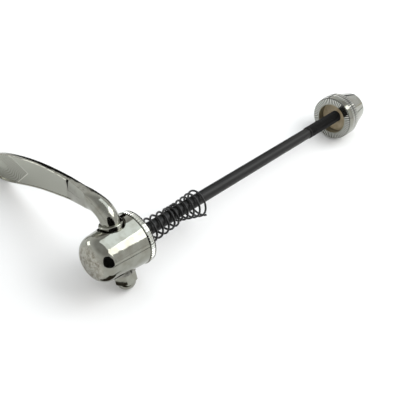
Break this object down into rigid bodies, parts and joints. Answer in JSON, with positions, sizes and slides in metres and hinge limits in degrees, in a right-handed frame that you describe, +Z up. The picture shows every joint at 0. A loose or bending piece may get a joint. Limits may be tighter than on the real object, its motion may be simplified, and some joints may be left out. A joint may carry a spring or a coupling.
{
  "type": "quick release skewer",
  "caption": "Bicycle quick release skewer with a chromed cam lever and housing, a thin black rod with cone springs and a knurled cone adjusting nut.",
  "frame": {"origin": "where the rod's axis crosses the cam shaft's axis", "axes": "+X along the rod from the housing to the adjusting nut, +Z up as the part lies, lever open and reaching towards +Y"},
  "size_m": [0.1468, 0.079, 0.0287],
  "materials": {
    "chrome_body": "bright chrome plate, lightly scuffed on the end",
    "chrome_ring": "bright chrome plate",
    "chrome_lever": "bright chrome plate over a forging",
    "plated_washer": "zinc plate",
    "plated_nut": "bright chrome plate",
    "black_rod": "satin black oxide",
    "black_wire": "semi-gloss black oxide spring wire",
    "chrome_nut": "bright chrome plate",
    "nylon": "off-white nylon"
  },
  "bodies": {
    "housing": {"cam_housing": "chrome_body", "serrated_ring": "chrome_ring", "inner_spring": "black_wire"},
    "lever": {"lever": "chrome_lever", "lock_washer": "plated_washer", "acorn_nut": "plated_nut"},
    "rod": {"skewer_rod": "black_rod"},
    "nut_carriage": {"lock_ring": "nylon"},
    "nut": {"adjusting_nut": "chrome_nut"},
    "loose_spring": {"outer_spring": "black_wire"}
  },
  "joints": [
    {"name": "lever_turn", "type": "hinge", "parent": "housing", "child": "lever", "pos_m": [0, 0, 0], "axis": [0, 0.4067, 0.9135], "range_deg": [0, 180]},
    {"name": "rod_draw", "type": "slide", "parent": "housing", "child": "rod", "axis": [1, 0, 0], "range_m": [-0.002, 0]},
    {"name": "nut_travel", "type": "slide", "parent": "rod", "child": "nut_carriage", "axis": [1, 0, 0], "range_m": [-0.008, 0.0024]},
    {"name": "nut_spin", "type": "hinge", "parent": "nut_carriage", "child": "nut", "pos_m": [0.1192, 0, 0], "axis": [1, 0, 0], "range_deg": [-3600, 1080]},
    {"name": "spring_slide", "type": "slide", "parent": "housing", "child": "loose_spring", "axis": [1, 0, 0], "range_m": [0, 0.064]}
  ],
  "couplings": [
    {"joint": "rod_draw", "follows": "lever_turn", "m_per_rad": -0.0006366},
    {"joint": "nut_travel", "follows": "nut_spin", "m_per_rad": 0.0001273}
  ]
}
